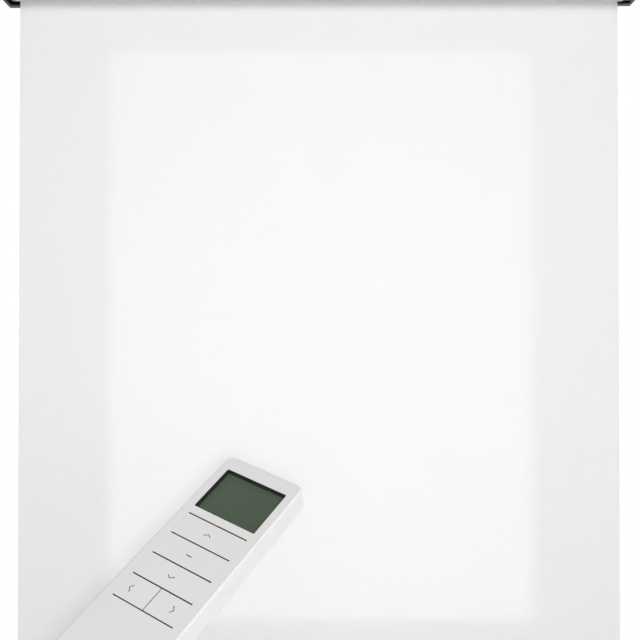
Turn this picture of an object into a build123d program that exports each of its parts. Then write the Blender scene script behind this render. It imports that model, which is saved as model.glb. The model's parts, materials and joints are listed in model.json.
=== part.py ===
from build123d import *
import os
from math import acos, cos, pi, radians, sin, tan

# Motorized roller blind with its hand transmitter, in millimetres.
# The wall is the plane Y = 0 and the room lies towards -Y. X runs along the roller, from the
# idle bracket at -X to the motor bracket at +X, and Z is up. The origin is on the wall, midway
# between the brackets, at the height of the roller's axis.

# The blind as a whole
overall_width = 800.0      # over the two bracket covers
axis_out = 35.0            # roller axis in front of the wall
drop = 880.0               # roller axis down to the lower edge of the hanging cloth

# Running clearances
snug = 0.05                # a piece pushed into another
running = 0.06             # a shaft that turns in a plastic bore
end_play = 0.8             # between a turning flange and a fixed face
cloth_clear = 0.3          # hanging cloth to whatever it passes

# Brackets, folded from steel sheet
bracket_steel = 2.5
bracket_top = 32.0         # ceiling face above the roller axis
flange_length = 26.0       # both flanges, inwards from the outer face of the plate
flange_corner = 3.0
bend_radius = 2.0          # outside of each fold
bend_relief = 4.5          # gap that keeps the two flanges apart at their shared corner
screw_hole_r = 2.6
screw_hole_in = 21.0       # hole centres, inwards from the outside of the cover
wall_hole_rise = 8.0       # wall holes above and below the roller axis
ceiling_hole_back = 16.0   # ceiling holes, out from the wall
ceiling_hole_front = 46.0

# Bracket covers, moulded
cover_depth = 62.0
cover_low_idle = 16.9      # lower edges below the roller axis
cover_low_motor = 14.4
cover_wall = 1.5
cover_rim = 4.0            # how far the rim reaches inwards along the roller
cover_corner = 8.0
cover_bevel = 0.5
cover_fit = 0.1
cover_lip_depth = 8.0      # strip of the cover under the wall flange

# Roller tube, extruded aluminium
tube_r = 19.0
tube_wall = 1.2
channel_r = 1.9            # keyhole channel that grips the top edge of the cloth
channel_at = 16.2          # channel centre from the roller axis
channel_slot = 1.6
boss_r = 3.0
rib_wide = 2.0
rib_high = 2.2           # inwards from the tube's bore
rib_turns = (120, 240)     # ribs, by their angle from the channel
plug_gap = 0.2             # plug notches round the tube's boss and ribs

# Cloth
cloth = 0.45
wraps = 3                  # turns left on the tube with the blind lowered
spline_r = 1.6

# Idle end: bearing in the bracket, sprung pin, plug and bright trim collar
bearing_r = 15.0
bearing_long = 9.8
bearing_barrel_r = 5.0     # neck of the bearing through the plate
bearing_edge = 1.5
pin_r = 3.0
pin_tip = 1.0              # tip of the pin short of the cover
pin_shoulder_r = 5.0
pin_shoulder = 2.0
pin_bevel = 0.75
collar_long = 2.2
collar_r = 20.0
collar_seat_r = 16.5
collar_edge = 1.0
plug_flange = 1.5
flange_r = 19.6
plug_long = 36.0
plug_wall = 4.0
plug_core_r = 9.0
plug_rib = 1.6
plug_ribs = 6
chamber_r = 6.5
chamber_wall = 2.5         # walls at the two ends of the spring chamber
spring_wire = 1.1
spring_r = 4.9
spring_turns = 7

# Motor head, fixed crown ring and bracket clip
spigot_gap = 3.3           # head to bracket plate
spigot = 12.0
spigot_corner = 1.0
spigot_fit = 0.1
head_r = 19.0
head_long = 10.5
head_edge = 0.8
head_gap = 0.6             # head to the turning crown ring
head_sleeve = 14.0
crown_flange = 2.9
crown_long = 14.0
clip_wire = 2.0
clip_leg = 10.0            # clip legs above the roller axis
clip_low = 8.0             # centre of the clip's bend below the roller axis

# Socket, button and lamp on the rim of the head, by their angle from the wall side, upwards
socket_angle = 236.0
socket_wide = 8.9
socket_tall = 3.2
socket_deep = 6.5
socket_wall = 0.3
socket_floor = 1.0
socket_tongue = 0.7
socket_tongue_back = 2.0   # tongue's end below the rim
button_angle = 196.0
button_r = 1.9
button_long = 3.4
button_proud = 0.4
button_travel = 0.8
lens_angle = 213.0
lens_r = 1.2
lens_deep = 2.5
lens_sunk = 0.15
rim_fit = 0.1

# Tubular motor
casing_r = 12.5
casing_wall = 0.8
casing_long = 420.0
bearing_flange = 2.5
bearing_plug = 4.9
shaft_r = 4.5
hex_across = 7.6
wheel_long = 16.0
wheel_gap = 4.0            # end bearing to drive wheel
wheel_holes = 6
wheel_hole_r = 2.3
wheel_hole_at = 11.2
clip_groove = 1.0
clip_ring_r = 6.0
clip_groove_r = 3.5
shaft_tail = 1.5

# Final planetary stage
module = 0.55
sun_teeth = 12
planet_teeth = 12
ring_teeth = sun_teeth + 2 * planet_teeth
planets = 3
pressure_angle = 20.0
addendum = 0.8             # tooth height over the pitch circle, in modules
dedendum = 1.08
backlash = 0.07
face_width = 8.0
carrier_plate = 3.0
carrier_r = 9.1
stage_gap = 0.4            # between plates and gears, along the shaft
pin_gear_r = 1.2
sun_shaft_r = 1.5
sun_shaft = 6.0
motor_long = 76.0
motor_bevel = 1.0
motor_gap = 1.6            # ring gear's end to the sealed motor

# Inside the casing
cradle_wall = 2.0
cradle_end = 1.5
cell_r = 9.15
cell_long = 65.0
cell_gap = 0.4             # cell to the cross wall at each of its ends
cells = 2
board = 1.6
board_wide = 20.6
board_long = 88.0
chips = (                  # larger components: middle along the board, length, width, height
    (10.0, 14.0, 12.0, 2.2),
    (34.0, 10.0, 14.0, 4.5),
    (56.0, 16.0, 8.0, 3.0),
    (78.0, 7.0, 10.0, 5.0),
)

# Bottom rail, extruded aluminium
rail_high = 26.0
rail_thick = 9.5
rail_wall = 1.2
rail_channel_r = 2.4
rail_boss_r = 3.6
rail_slot = 1.8
cap_long = 2.4
cap_plug = 8.0
cap_edge = 0.6

# Transmitter. Its own frame has X to its right, Y towards its top and Z out of its face, and
# starts at the middle of the display's upper edge.
remote_at = (-32.8, -679.1, -511.6)
remote_turn = (37.48, -2.9, -32.2)
remote_wide = 47.6
remote_long = 151.0
remote_thick = 14.0
remote_top = 8.9           # display to the upper edge of the face
remote_corner = 4.3
remote_edge = 0.85
remote_wall = 1.6
face_thick = 2.0
parting = 7.0              # depth of the joint between the two shells
display_wide = 37.3
display_tall = 28.8
display_deep = 3.1         # display panel below the face
frame_wall = 0.35          # black frame that lines the display's opening
frame_below = 0.2          # top of the frame below the face
window_deep = 0.7          # window below the face
window_thick = 1.0
display_corner = 0.6
frame_lip = 0.7            # frame behind the face
panel_thick = 2.2
key_block = 36.0
key_gap_top = 5.0          # display to the first line
key_pitch = 14.0
key_rows = 4
key_line = 0.7             # open line between two rows of keys
key_split = 0.45           # open line between the left and right keys
key_edge = 0.12            # bevel along the open lines
key_side = 0.05
key_press = 0.5
key_lip = 0.8
key_lip_gap = 0.15
key_stem = 4.0
key_stem_long = 0.8
key_foot_gap = 0.1         # stem to dome with the key pressed
dome_r = 3.0
dome_high = 0.5
mat_thick = 0.6
mat_margin = 1.0           # mat beyond the keys
rib_gap = 0.07             # ribs of the mat in the open lines, to the keys on both sides
rib_end = 0.3
rib_sunk = 0.15            # ribs below the face
remote_board_thick = 1.2
coin_r = 12.25
coin_thick = 5.0
coin_at = 25.0             # coin cell's centre above the lower end
contact_wide = 5.0
contact_thick = 0.3
contact_on = 4.0           # length on the board
coin_bevel = 0.4
door_wide = 32.0
door_long = 44.0
door_fit = 0.15
door_tail = 10.0           # how far the door's outline runs past the shell's lower end
door_grooves = 4
groove_from = 12.0         # first groove above the lower end
groove_pitch = 3.0
groove_wide = 1.2
groove_deep = 0.4
post_r = 2.5
post_gap = 0.3             # post to the shell's walls, and to the key mat
board_gap = 0.5            # small board to the walls and posts round it
screw_r = 0.95
screw_head_r = 2.0
screw_head = 1.4
screw_sunk = 0.4           # head below the back
cross_wide = 0.5           # cross recess in the head
cross_deep = 0.6
screw_tip = 1.0            # tip below the face's inner side

# Sizes that follow
half = overall_width / 2
plate_out = half - cover_wall - cover_fit
plate_in = plate_out - bracket_steel
plate_depth = cover_depth - cover_wall - cover_fit
bearing_face = -plate_in + bearing_long
collar_from = bearing_face + end_play
idle_flange = collar_from + collar_long
tube_idle = idle_flange + plug_flange
tube_bore = tube_r - tube_wall
plug_r = tube_bore - snug
head_out = plate_in - spigot_gap
head_in = head_out - head_long
crown_face = head_in - head_gap
tube_motor = crown_face - crown_flange
clip_at = head_out + spigot_gap / 2
cloth_r = tube_r + wraps * cloth
panel_back = axis_out - cloth_r - cloth_clear
panel_mid = panel_back - cloth / 2
chamber_from = idle_flange + chamber_wall
chamber_to = tube_idle + plug_long - chamber_wall
casing_bore = casing_r - casing_wall
casing_end = head_in - casing_long
ring_from = casing_end + bearing_plug
carrier_from = ring_from + stage_gap
gears_from = carrier_from + carrier_plate + stage_gap
gears_to = gears_from + face_width
ring_to = gears_to + stage_gap
motor_from = ring_to + motor_gap
motor_to = motor_from + motor_long
planet_at = module * (sun_teeth + planet_teeth) / 2
wheel_to = casing_end - bearing_flange - wheel_gap
wheel_from = wheel_to - wheel_long
shaft_from = wheel_from - clip_groove - 2 * snug - shaft_tail
cradle_r = casing_bore - snug
cradle_from = motor_to + stage_gap
cradle_to = head_in - head_sleeve - stage_gap
rail_top = -drop - cloth_clear
rail_round = rail_thick / 2
remote_end = remote_top - remote_long
keys_top = -display_tall - key_gap_top
key_under = -face_thick - key_lip_gap
key_foot = key_under - key_lip - key_stem_long
mat_top = key_foot - key_press - key_foot_gap - dome_high
board_top = mat_top - mat_thick
board_low = board_top - remote_board_thick
keys_end = keys_top - key_rows * key_pitch
coin_low = -remote_thick + remote_wall + snug


def across(x):
    """Plane square to the roller, on its axis: first direction to the wall, second up."""
    return Plane((x, -axis_out, 0), x_dir=(0, 1, 0), z_dir=(1, 0, 0))


def side_view(x):
    """Plane square to the roller, on the wall: first direction to the room, second up."""
    return Plane((x, 0, 0), x_dir=(0, -1, 0), z_dir=(-1, 0, 0))


def along(section, x_from, x_to):
    """Section drawn round the roller axis, drawn out between two places along it."""
    return extrude(across(x_from) * section, amount=x_to - x_from)


def turned(x_from, x_to, outer, inner=0.0):
    """Round bar or sleeve on the roller axis."""
    section = Circle(outer)
    if inner > 0:
        section -= Circle(inner)
    return along(section, x_from, x_to)


def block(x, y, z):
    """Box between three pairs of limits."""
    size = (x[1] - x[0], y[1] - y[0], z[1] - z[0])
    return Pos((x[0] + x[1]) / 2, (y[0] + y[1]) / 2, (z[0] + z[1]) / 2) * Box(*size)


def end_edges(shape, x, radius):
    """Round edges of one radius at one place along the roller."""
    return [
        edge
        for edge in shape.edges().filter_by(GeomType.CIRCLE)
        if abs(edge.center().X - x) < 0.01 and abs(edge.radius - radius) < 0.01
    ]


# Brackets and covers

def cheek(depth, low, corner):
    """Side view of a bracket plate or cover, with its lower front corner rounded."""
    outline = Pos(0, -low) * Rectangle(depth, low + bracket_top, align=(Align.MIN, Align.MIN))
    front = outline.vertices().sort_by(lambda v: v.X - v.Y)[-1]
    return fillet(front, corner)


def bracket(low):
    """Folded bracket at the +X end: a cheek with a wall flange and a ceiling flange."""
    plate_low = low - cover_wall - cover_fit
    plate = extrude(
        side_view(plate_out) * cheek(plate_depth, plate_low, cover_corner - cover_wall - cover_fit),
        amount=bracket_steel,
    )
    flange_x = (plate_out - flange_length, plate_out)
    wall = block(flange_x, (-bracket_steel, 0), (-plate_low, bracket_top - bend_relief))
    ceiling = block(
        flange_x, (-plate_depth, -bend_relief), (bracket_top - bracket_steel, bracket_top)
    )
    free_x = plate_out - flange_length
    wall = fillet(wall.edges().filter_by(Axis.Y).group_by(Axis.X)[0], flange_corner)
    ceiling = fillet(ceiling.edges().filter_by(Axis.Z).group_by(Axis.X)[0], flange_corner)
    sheet = plate + wall + ceiling
    sheet -= block(
        (free_x, plate_out + 1),
        (-bend_relief, 1),
        (bracket_top - bend_relief, bracket_top + 1),
    )
    folds = [
        edge
        for edge in sheet.edges().filter_by(GeomType.LINE)
        if abs(edge.center().X - plate_out) < 0.01
        and (
            (abs(edge.center().Y) < 0.01 and edge.length > 2 * bend_radius)
            or (abs(edge.center().Z - bracket_top) < 0.01 and edge.length > 2 * bend_radius)
        )
    ]
    sheet = fillet(folds, bend_radius)
    hole_x = half - screw_hole_in
    for rise in (-wall_hole_rise, wall_hole_rise):
        sheet -= Pos(hole_x, 0, rise) * Rot(90, 0, 0) * Cylinder(screw_hole_r, 4 * bracket_steel)
    for out in (ceiling_hole_back, ceiling_hole_front):
        sheet -= Pos(hole_x, -out, bracket_top) * Cylinder(screw_hole_r, 4 * bracket_steel)
    return sheet


def bracket_idle():
    folded = mirror(bracket(cover_low_idle), Plane.YZ)
    return folded - turned(-half, -plate_in + 1, bearing_barrel_r)


def bracket_motor():
    window = RectangleRounded(spigot + 2 * spigot_fit, spigot + 2 * spigot_fit, spigot_corner)
    return bracket(cover_low_motor) - along(window, plate_in - 1, half)


def cover(low):
    """Moulded cover at the +X end: a cheek with a rim in front and below, open to the wall."""
    skin = extrude(side_view(half) * cheek(cover_depth, low, cover_corner), amount=cover_rim)
    skin -= extrude(
        side_view(half - cover_wall)
        * cheek(cover_depth - cover_wall, low - cover_wall, cover_corner - cover_wall),
        amount=cover_rim,
    )
    bevelled = [
        edge
        for edge in skin.faces().sort_by(Axis.X)[-1].edges()
        if edge.center().Y < -0.01 and edge.center().Z < bracket_top - 0.01
    ]
    skin = chamfer(bevelled, cover_bevel)
    skin += block(
        (plate_out - flange_length, half - cover_wall),
        (-cover_lip_depth, 0),
        (-low, -low + cover_wall),
    )
    return skin


def cover_motor():
    return cover(cover_low_motor)


def cover_idle():
    return mirror(cover(cover_low_idle), Plane.YZ)


# Idle end

def idle_bearing():
    """Bearing that fills the bracket's hole and carries the pin."""
    boss = turned(-plate_in, bearing_face, bearing_r)
    boss = fillet(end_edges(boss, bearing_face, bearing_r), bearing_edge)
    boss += turned(-plate_out, -plate_in, bearing_barrel_r - snug)
    return boss - turned(-half, bearing_face + 1, pin_r + running)


def idle_pin():
    """Sprung steel pin: nose in the bearing, shoulder and tail in the plug."""
    nose = -half + cover_wall + pin_tip
    shoulder = chamber_from + snug
    pin = turned(nose, chamber_to + chamber_wall / 2, pin_r)
    pin = chamfer(end_edges(pin, nose, pin_r), pin_bevel)
    return pin + turned(shoulder, shoulder + pin_shoulder, pin_shoulder_r)


def idle_spring():
    """Coil spring behind the pin's shoulder, drawn as rings joined by short links."""
    start = chamber_from + snug + pin_shoulder
    step = (chamber_to - start) / spring_turns
    ring = Circle(spring_r + spring_wire / 2) - Circle(spring_r - spring_wire / 2)
    coil = along(ring, start, start + spring_wire)
    for turn in range(1, spring_turns + 1):
        at = start + turn * step - (spring_wire if turn == spring_turns else 0)
        coil += along(ring, at, at + spring_wire)
        link = Rot(0, 0, 180 * (turn % 2)) * Pos(spring_r, 0) * Rectangle(spring_wire, spring_wire)
        coil += along(link, start + (turn - 1) * step, at + spring_wire)
    return coil


def tube_keys(gap):
    """Section of the tube's boss and ribs, grown by a gap and open outwards."""
    keys = Pos(0, channel_at) * Circle(boss_r + gap)
    keys += Pos(0, channel_at + boss_r) * Rectangle(2 * (boss_r + gap), 2 * boss_r)
    for turn in rib_turns:
        rib = Rectangle(rib_wide + 2 * gap, 2 * (rib_high + gap))
        keys += Rot(0, 0, turn) * Pos(0, tube_bore) * rib
    return keys


def idle_plug():
    """Moulded plug: flange, notched barrel with ribs, and a chamber for the pin's spring."""
    notched = Circle(plug_r) - tube_keys(plug_gap)
    shell = notched - Circle(plug_r - plug_wall)
    web = Circle(plug_core_r)
    arm = Pos(0, plug_r / 2) * Rectangle(plug_rib, plug_r)
    for number in range(plug_ribs):
        web += Rot(0, 0, (number + 0.5) * 360 / plug_ribs) * arm
    barrel_to = tube_idle + plug_long
    plug = along(shell + (web & notched), tube_idle, barrel_to)
    plug += turned(idle_flange, tube_idle, flange_r)
    plug += turned(collar_from, idle_flange, collar_seat_r - snug)
    plug -= turned(chamber_from, chamber_to, chamber_r)
    return plug - turned(collar_from - 1, barrel_to + 1, pin_r + running)


def idle_collar():
    """Bright ring on the plug's seat, rounded on its outer edge."""
    ring = turned(collar_from, idle_flange, collar_r)
    ring = fillet(end_edges(ring, collar_from, collar_r), collar_edge)
    return ring - turned(collar_from - 1, idle_flange + 1, collar_seat_r)


# Roller and cloth

def roller_tube():
    """Extruded tube with a keyhole channel for the cloth and two ribs."""
    section = Circle(tube_r) - Circle(tube_bore)
    section += (Pos(0, channel_at) * Circle(boss_r)) & Circle(tube_r)
    rib = Pos(0, tube_bore) * Rectangle(rib_wide, 2 * rib_high)
    for turn in rib_turns:
        section += (Rot(0, 0, turn) * rib) & Circle(tube_r)
    section -= Pos(0, channel_at) * Circle(channel_r)
    section -= Pos(0, channel_at + tube_r / 2) * Rectangle(channel_slot, tube_r)
    return along(section, tube_idle, tube_motor)


def tube_spline():
    """Plastic strip that holds the top edge of the cloth in the tube's channel."""
    return along(Pos(0, channel_at) * Circle(spline_r), tube_idle, tube_motor)


def fabric_roll():
    """Cloth left on the tube with the blind lowered."""
    return turned(tube_idle, tube_motor, cloth_r, tube_r)


def fabric_panel():
    """Hanging cloth, which leaves the roll on its wall side."""
    return block((tube_idle, tube_motor), (-panel_back, -panel_back + cloth), (-drop, 0))


# Motor end

def crown_ring():
    """Turning flange that carries the tube round the casing."""
    barrel = Circle(plug_r) - tube_keys(plug_gap)
    ring = along(barrel, tube_motor - crown_long, tube_motor)
    ring += turned(tube_motor, crown_face, flange_r)
    return ring - turned(tube_motor - crown_long - 1, crown_face + 1, casing_r + running)


def rim_at(angle, depth=0.0):
    """Plane on the rim of the motor head, facing out: second direction along the roller."""
    turn = radians(angle)
    out = (0, cos(turn), sin(turn))
    reach = head_r - depth
    centre = ((head_in + head_out) / 2, -axis_out + reach * out[1], reach * out[2])
    return Plane(centre, x_dir=(0, -sin(turn), cos(turn)), z_dir=out)


def motor_head():
    """Fixed head of the motor: rim with its controls, square spigot and sleeve."""
    head = turned(head_in, head_out, head_r)
    head = chamfer(end_edges(head, head_out, head_r), head_edge)
    peg = along(RectangleRounded(spigot, spigot, spigot_corner), head_out, plate_out)
    reach = spigot / 2 - clip_wire / 2
    groove_half = clip_wire / 2 + snug
    groove_x = (clip_at - groove_half, clip_at + groove_half)
    for side in (-1, 1):
        limits = sorted((side * reach, side * spigot))
        peg -= block(groove_x, (limits[0] - axis_out, limits[1] - axis_out), (-spigot, spigot))
    head += peg
    sleeve_r = casing_bore - snug
    head += turned(head_in - head_sleeve, head_in, sleeve_r, sleeve_r - casing_wall)
    head -= extrude(rim_at(socket_angle) * SlotOverall(socket_wide, socket_tall), -socket_deep)
    head -= extrude(rim_at(button_angle) * Circle(button_r + rim_fit), -button_long - button_travel)
    head -= extrude(rim_at(lens_angle) * Circle(lens_r + snug), -lens_deep)
    return head


def charge_socket():
    """Metal shell of the charging socket with the tongue inside it."""
    outer = SlotOverall(socket_wide - 2 * snug, socket_tall - 2 * snug)
    inner = SlotOverall(
        socket_wide - 2 * snug - 2 * socket_wall, socket_tall - 2 * snug - 2 * socket_wall
    )
    tongue = Rectangle(socket_wide - socket_tall, socket_tongue)
    floor = rim_at(socket_angle, socket_deep)
    shell = extrude(floor * (outer - inner), socket_deep - socket_floor)
    shell += extrude(floor * outer, socket_floor)
    return shell + extrude(floor * tongue, socket_deep - socket_tongue_back)


def setting_button():
    """Button on the rim of the head, sprung outwards."""
    key = extrude(rim_at(button_angle, button_long - button_proud) * Circle(button_r), button_long)
    top = key.faces().sort_by(lambda f: f.center().Y)[0]
    return chamfer(top.edges(), button_proud / 2)


def status_lens():
    """Clear lamp window, just below the rim."""
    return extrude(rim_at(lens_angle, lens_deep) * Circle(lens_r), lens_deep - lens_sunk)


def retaining_clip():
    """Wire clip that locks the spigot in the bracket plate."""
    reach = spigot / 2 + snug
    legs = [(-reach, clip_leg), (-reach, -clip_low), (reach, -clip_low), (reach, clip_leg)]
    path = Line(legs[0], legs[1]) + SagittaArc(legs[1], legs[2], -reach) + Line(legs[2], legs[3])
    path = across(clip_at) * path
    start = path @ 0
    section = Plane(start, z_dir=path % 0) * Circle(clip_wire / 2)
    return sweep(section, path)


def motor_casing():
    return turned(casing_end, head_in, casing_r, casing_bore)


def end_bearing():
    """Plug in the inner end of the casing, with the output shaft's bore."""
    plug = turned(casing_end, ring_from, casing_bore - snug)
    plug += turned(casing_end - bearing_flange, casing_end, casing_r)
    return plug - turned(casing_end - bearing_flange - 1, ring_from + 1, shaft_r + running)


def flank_angle(radius, base):
    """Angle that an involute has turned through at a radius."""
    press = acos(min(1.0, base / radius))
    return tan(press) - press


def gear_outline(teeth, add, ded, sign):
    """Closed tooth outline: sign is 1 for a gear and -1 for the space inside a ring gear."""
    pitch = module * teeth / 2
    base = pitch * cos(radians(pressure_angle))
    at_pitch = flank_angle(pitch, base)
    root = pitch - sign * ded * module
    tip = pitch + sign * add * module
    start = max(base, root) if sign > 0 else root
    steps = 3
    flank = [start + (tip - start) * step / steps for step in range(steps + 1)]
    points = []
    for tooth in range(teeth):
        centre = 2 * pi * tooth / teeth
        side = []
        for radius in flank:
            spread = pi / (2 * teeth) - backlash / (2 * pitch)
            spread += sign * (at_pitch - flank_angle(radius, base))
            side.append((radius, spread))
        if sign > 0 and root < base:
            side.insert(0, (root, side[0][1]))
        points += [(r * cos(centre - a), r * sin(centre - a)) for r, a in side]
        points += [(r * cos(centre + a), r * sin(centre + a)) for r, a in reversed(side)]
    return make_face(Polyline(*points, close=True))


def sun_gear():
    """Sun pinion on the motor's shaft, turned half a pitch so that it meshes at rest."""
    teeth = Rot(0, 0, 180 / sun_teeth) * gear_outline(sun_teeth, addendum, dedendum, 1)
    pinion = along(teeth, gears_from, gears_to + stage_gap)
    return pinion + turned(gears_to + stage_gap, gears_to + stage_gap + sun_shaft, sun_shaft_r)


def planet_place(number):
    """Centre of a planet in the section round the roller axis."""
    turn = radians(90 + number * 360 / planets)
    return planet_at * cos(turn), planet_at * sin(turn)


def planet_gear(number):
    wheel = gear_outline(planet_teeth, addendum, dedendum, 1) - Circle(pin_gear_r + running)
    return along(Pos(*planet_place(number)) * wheel, gears_from, gears_to)


def ring_gear():
    """Internal gear, pushed into the casing. Its spaces face the planets' outer teeth."""
    inside = Rot(0, 0, 180 / ring_teeth) * gear_outline(ring_teeth, addendum, dedendum, -1)
    return along(Circle(casing_bore - snug) - inside, ring_from, ring_to)


def output_carrier():
    """Carrier of the planets with the output shaft, round in its bearing and then hexagonal."""
    carrier = turned(carrier_from, carrier_from + carrier_plate, carrier_r)
    for number in range(planets):
        pin = Pos(*planet_place(number)) * Circle(pin_gear_r)
        carrier += along(pin, carrier_from + carrier_plate, gears_to + stage_gap / 2)
    bearing_side = casing_end - bearing_flange - wheel_gap / 2
    carrier += turned(bearing_side, carrier_from, shaft_r)
    hexagon = RegularPolygon(hex_across / 2, 6, major_radius=False)
    carrier += along(hexagon, shaft_from, bearing_side)
    groove = (wheel_from - clip_groove - 2 * snug, wheel_from)
    return carrier - turned(groove[0], groove[1], shaft_r, clip_groove_r)


def drive_wheel():
    """Notched wheel on the output shaft, which turns the tube."""
    section = Circle(plug_r) - tube_keys(plug_gap)
    section -= RegularPolygon(hex_across / 2 + snug, 6, major_radius=False)
    hole = Pos(0, wheel_hole_at) * Circle(wheel_hole_r)
    for number in range(wheel_holes):
        section -= Rot(0, 0, (number + 0.5) * 360 / wheel_holes) * hole
    return along(section, wheel_from, wheel_to)


def drive_clip():
    """Open spring ring in the shaft's groove."""
    section = Circle(clip_ring_r) - Circle(clip_groove_r + snug)
    section -= Pos(0, -clip_ring_r) * Rectangle(clip_groove_r, 2 * clip_ring_r - clip_groove_r)
    return along(section, wheel_from - clip_groove - snug, wheel_from - snug)


def gearmotor():
    """Sealed can with the motor and its first gear stages."""
    can = turned(motor_from, motor_to, cradle_r)
    can = chamfer(end_edges(can, motor_to, cradle_r), motor_bevel)
    bore_to = gears_to + stage_gap + sun_shaft + stage_gap
    return can - turned(motor_from - 1, bore_to, sun_shaft_r + running)


def wall_start(number):
    """Near side of one of the cradle's cross walls, each between two cells or at an end."""
    return cradle_from + number * (cradle_end + 2 * cell_gap + cell_long)


def inner_cradle():
    """Lower half tube that holds the cells and carries the board on its edges."""
    lower = Pos(0, -cradle_r / 2) * Rectangle(2 * cradle_r, cradle_r)
    trough = (Circle(cradle_r) - Circle(cradle_r - cradle_wall)) & lower
    cradle = along(trough, cradle_from, cradle_to)
    for number in range(cells + 1):
        start = wall_start(number)
        cradle += along(Circle(cradle_r) & lower, start, start + cradle_end)
    return cradle


def battery_cells():
    starts = [wall_start(number) + cradle_end + cell_gap for number in range(cells)]
    return [along(Circle(cell_r), start, start + cell_long) for start in starts]


def motor_board():
    """Circuit board on the cradle's edges, with its larger components."""
    start = cradle_to - board_long
    base = along(Pos(0, board / 2) * Rectangle(board_wide, board), start, cradle_to)
    for at, long, wide, high in chips:
        chip = Pos(0, board + high / 2) * Rectangle(wide, high)
        base += along(chip, start + at - long / 2, start + at + long / 2)
    return base


# Bottom rail

def rail_outline(inset=0.0):
    """Flat oval of the rail, drawn upright round its own middle."""
    return Rot(0, 0, 90) * SlotOverall(rail_high - 2 * inset, rail_thick - 2 * inset)


def rail_part(section, x_from, x_to):
    """Section drawn round the rail's middle, drawn out between two places along the roller."""
    middle = (x_from, -panel_mid, rail_top - rail_high / 2)
    plane = Plane(middle, x_dir=(0, 1, 0), z_dir=(1, 0, 0))
    return extrude(plane * section, amount=x_to - x_from)


def rail_ends():
    return tube_idle + cap_long, tube_motor - cap_long


def channel_middle():
    return Pos(0, rail_high / 2 - rail_round)


def bottom_rail():
    """Hollow extrusion with a keyhole channel along its top."""
    section = rail_outline() - rail_outline(rail_wall)
    section += channel_middle() * Circle(rail_boss_r)
    section -= channel_middle() * Circle(rail_channel_r)
    section -= channel_middle() * Pos(0, rail_round) * Rectangle(rail_slot, 2 * rail_round)
    return rail_part(section, *rail_ends())


def rail_spline():
    return rail_part(channel_middle() * Circle(spline_r), *rail_ends())


def rail_hem():
    """Lower edge of the cloth: a sleeve round the spline and the two layers above it."""
    sleeve_r = spline_r + snug + cloth
    layers = Pos(0, rail_round / 2) * Rectangle(2 * cloth, rail_round)
    section = Circle(sleeve_r) + layers - Circle(spline_r + snug)
    return rail_part(channel_middle() * section, *rail_ends())


def rail_cap(x_from, x_to, plug_to):
    """Moulded cap on one end of the rail, with a plug in its lower chamber."""
    cap = rail_part(rail_outline(), x_from, x_to)
    outer = max((x_from, x_to), key=abs)
    rim = cap.faces().sort_by(Axis.X)[-1 if outer > 0 else 0]
    cap = chamfer(rim.edges(), cap_edge)
    top = rail_high / 2 - rail_round - rail_boss_r - cover_fit
    room = Pos(0, top) * Rectangle(rail_thick, rail_high, align=(Align.CENTER, Align.MAX))
    lower = rail_outline(rail_wall + cover_fit) & room
    return cap + rail_part(lower, *sorted((plug_to, x_to if outer < 0 else x_from)))


def rail_cap_left():
    start, _ = rail_ends()
    return rail_cap(tube_idle, start, start + cap_plug)


def rail_cap_right():
    _, stop = rail_ends()
    return rail_cap(stop, tube_motor, stop - cap_plug)


# Transmitter, in its own frame

def slab(outline, low, high):
    """Outline drawn on the transmitter's face plane, made solid between two depths."""
    return extrude(Pos(0, 0, low) * outline, amount=high - low)


def remote_outline(inset=0.0):
    wide, tall = remote_wide - 2 * inset, remote_long - 2 * inset
    outline = RectangleRounded(wide, tall, remote_corner - inset)
    return Pos(0, remote_top - remote_long / 2) * outline


def remote_form():
    """Outer form of both shells, bevelled round the face and rounded round the back."""
    form = slab(remote_outline(), -remote_thick, 0)
    form = chamfer(form.faces().sort_by(Axis.Z)[-1].edges(), remote_edge)
    return fillet(form.faces().sort_by(Axis.Z)[0].edges(), 2 * remote_edge)


def display_outline(grow=0.0):
    wide, tall = display_wide + 2 * grow, display_tall + 2 * grow
    outline = RectangleRounded(wide, tall, display_corner)
    return Pos(0, -display_tall / 2) * outline


def key_block_outline():
    tall = key_rows * key_pitch + key_line
    middle = keys_top + key_line / 2 - tall / 2
    return Pos(0, middle) * Rectangle(key_block + 2 * key_side, tall)


def post_places():
    """Screw posts: beside the upper margin and just below the keys."""
    across_post = remote_wide / 2 - remote_wall - post_r - post_gap
    upper = remote_top - remote_wall - post_r - post_gap
    lower = keys_end - mat_margin - board_gap - post_r - post_gap
    return [(side * across_post, y) for y in (upper, lower) for side in (-1, 1)]


def remote_front_cover():
    """Upper shell with the display window and the opening for the keys."""
    shell = remote_form() & slab(remote_outline(-1), -parting, 1)
    shell -= slab(remote_outline(remote_wall), -parting - 1, -face_thick)
    shell -= slab(display_outline(), -face_thick - 1, 1)
    shell -= slab(key_block_outline(), -face_thick - 1, 1)
    for x, y in post_places():
        post = Pos(x, y) * (Circle(post_r) - Circle(screw_r + snug))
        shell += slab(post, -parting - 1, -face_thick)
    return shell


def door_outline(grow=0.0):
    wide = door_wide + 2 * grow
    tall = door_long + door_tail + grow
    return Pos(0, remote_end + door_long + grow - tall / 2) * Rectangle(wide, tall)


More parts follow.
